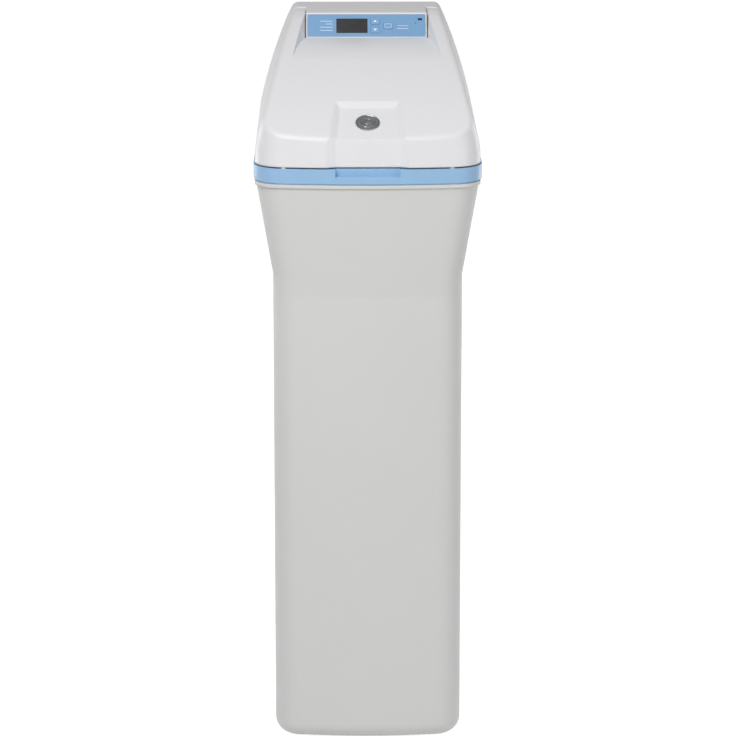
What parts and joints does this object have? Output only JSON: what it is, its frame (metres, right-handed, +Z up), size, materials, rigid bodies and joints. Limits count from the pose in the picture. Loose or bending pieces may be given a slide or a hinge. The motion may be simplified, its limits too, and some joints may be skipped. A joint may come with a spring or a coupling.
{
  "type": "water softener",
  "caption": "Slim cabinet water softener: tapered salt tank, blue rim, hinged salt lid, control panel, resin tank, rotary valve, brine well and push-pull bypass.",
  "frame": {"origin": "centre of the bounding box in plan, on the floor under the feet", "axes": "+Z up, +X to the right seen from the front, +Y to the back; the front faces -Y"},
  "size_m": [0.355, 0.56, 1.132],
  "materials": {
    "tank_shell": "fine satin moulding",
    "rim_blue": "satin light blue",
    "lid_white": "smooth satin white",
    "panel_blue": "printed light blue film",
    "display_glass": "dark display window",
    "badge_metal": "satin grey metal",
    "bumper_rubber": "pale soft pad",
    "steel": "zinc plated",
    "black_rubber": "matt",
    "lens_dark": "dark tinted lens",
    "board_green": "lacquered board",
    "vessel_grey": "wound fibre vessel",
    "boot_black": "moulded",
    "resin_amber": "resin beads",
    "tube_white": "natural plastic",
    "valve_black": "glass filled plastic",
    "plate_steel": "pressed zinc plated plate",
    "motor_metal": "plated can",
    "switch_black": "moulded",
    "venturi_grey": "moulded",
    "bypass_black": "glass filled plastic",
    "adapter_grey": "smooth pipe stub",
    "clip_red": "spring clip",
    "well_white": "extruded tube",
    "brine_tube_clear": "milky tube",
    "key_blue": "film key",
    "gear_white": "acetal",
    "rotor_grey": "moulded",
    "turbine_white": "acetal",
    "float_white": "foam float",
    "spool_grey": "acetal"
  },
  "bodies": {
    "cabinet": {"salt_tank": "tank_shell", "rim": "rim_blue", "lid_bumpers": "bumper_rubber", "hinge_pins": "steel", "rear_cover": "lid_white", "cover_screws": "steel", "power_gland": "black_rubber", "control_housing": "lid_white", "faceplate": "panel_blue", "display_window": "display_glass", "indicator_lens": "lens_dark", "circuit_board": "board_green", "resin_tank": "vessel_grey", "tank_boot": "boot_black", "resin_bed": "resin_amber", "riser_tube": "tube_white", "bottom_distributor": "tube_white", "top_distributor": "tube_white", "neck_clamp": "valve_black", "valve_body": "valve_black", "valve_cover": "valve_black", "valve_screws": "steel", "motor_plate": "plate_steel", "gear_motor": "motor_metal", "position_switch": "switch_black", "venturi_housing": "venturi_grey", "venturi_cap": "venturi_grey", "drain_elbow": "tube_white", "turbine_support": "tube_white", "bypass_body": "bypass_black", "inlet_adapter": "adapter_grey", "outlet_adapter": "adapter_grey", "port_clips": "clip_red", "brinewell": "well_white", "brine_riser": "tube_white", "brine_tube": "brine_tube_clear", "overflow_grommet": "black_rubber", "overflow_elbow": "tube_white"},
    "lid": {"salt_lid": "lid_white", "lid_badge": "badge_metal"},
    "up_key": {"button_up": "key_blue"},
    "down_key": {"button_down": "key_blue"},
    "select_key": {"button_select": "key_blue"},
    "rotor": {"cam_gear": "gear_white", "rotor_disc": "rotor_grey"},
    "pinion": {"motor_pinion": "gear_white"},
    "turbine": {"turbine_wheel": "turbine_white"},
    "float": {"brine_float": "float_white"},
    "spool": {"bypass_spool": "spool_grey"},
    "well_cap": {"brinewell_cap": "well_white"}
  },
  "joints": [
    {"name": "lid_hinge", "type": "hinge", "parent": "cabinet", "child": "lid", "pos_m": [0, 0.091, 1.123], "axis": [-1, 0, 0], "range_deg": [0, 100]},
    {"name": "up_press", "type": "slide", "parent": "cabinet", "child": "up_key", "axis": [0, 0.8358, -0.549], "range_m": [0, 0.0008], "stiffness_N_per_m": 1500, "springref_m": -0.0003},
    {"name": "down_press", "type": "slide", "parent": "cabinet", "child": "down_key", "axis": [0, 0.8358, -0.549], "range_m": [0, 0.0008], "stiffness_N_per_m": 1500, "springref_m": -0.0003},
    {"name": "select_press", "type": "slide", "parent": "cabinet", "child": "select_key", "axis": [0, 0.8358, -0.549], "range_m": [0, 0.0008], "stiffness_N_per_m": 1500, "springref_m": -0.0003},
    {"name": "rotor_turn", "type": "hinge", "parent": "cabinet", "child": "rotor", "pos_m": [0, 0.09, 1.017], "axis": [0, 0, 1], "continuous": true},
    {"name": "pinion_turn", "type": "hinge", "parent": "cabinet", "child": "pinion", "pos_m": [0.054, 0.09, 1.017], "axis": [0, 0, 1], "continuous": true},
    {"name": "turbine_spin", "type": "hinge", "parent": "cabinet", "child": "turbine", "pos_m": [0.04, 0.1865, 0.957], "axis": [0, 1, 0], "continuous": true},
    {"name": "float_rise", "type": "slide", "parent": "cabinet", "child": "float", "axis": [0, 0, 1], "range_m": [0, 0.025]},
    {"name": "bypass_push", "type": "slide", "parent": "cabinet", "child": "spool", "axis": [-1, 0, 0], "range_m": [0, 0.022]},
    {"name": "well_cap_lift", "type": "slide", "parent": "cabinet", "child": "well_cap", "axis": [0, 0, 1], "range_m": [0, 0.04]}
  ],
  "couplings": [
    {"joint": "pinion_turn", "follows": "rotor_turn", "ratio": -3}
  ]
}
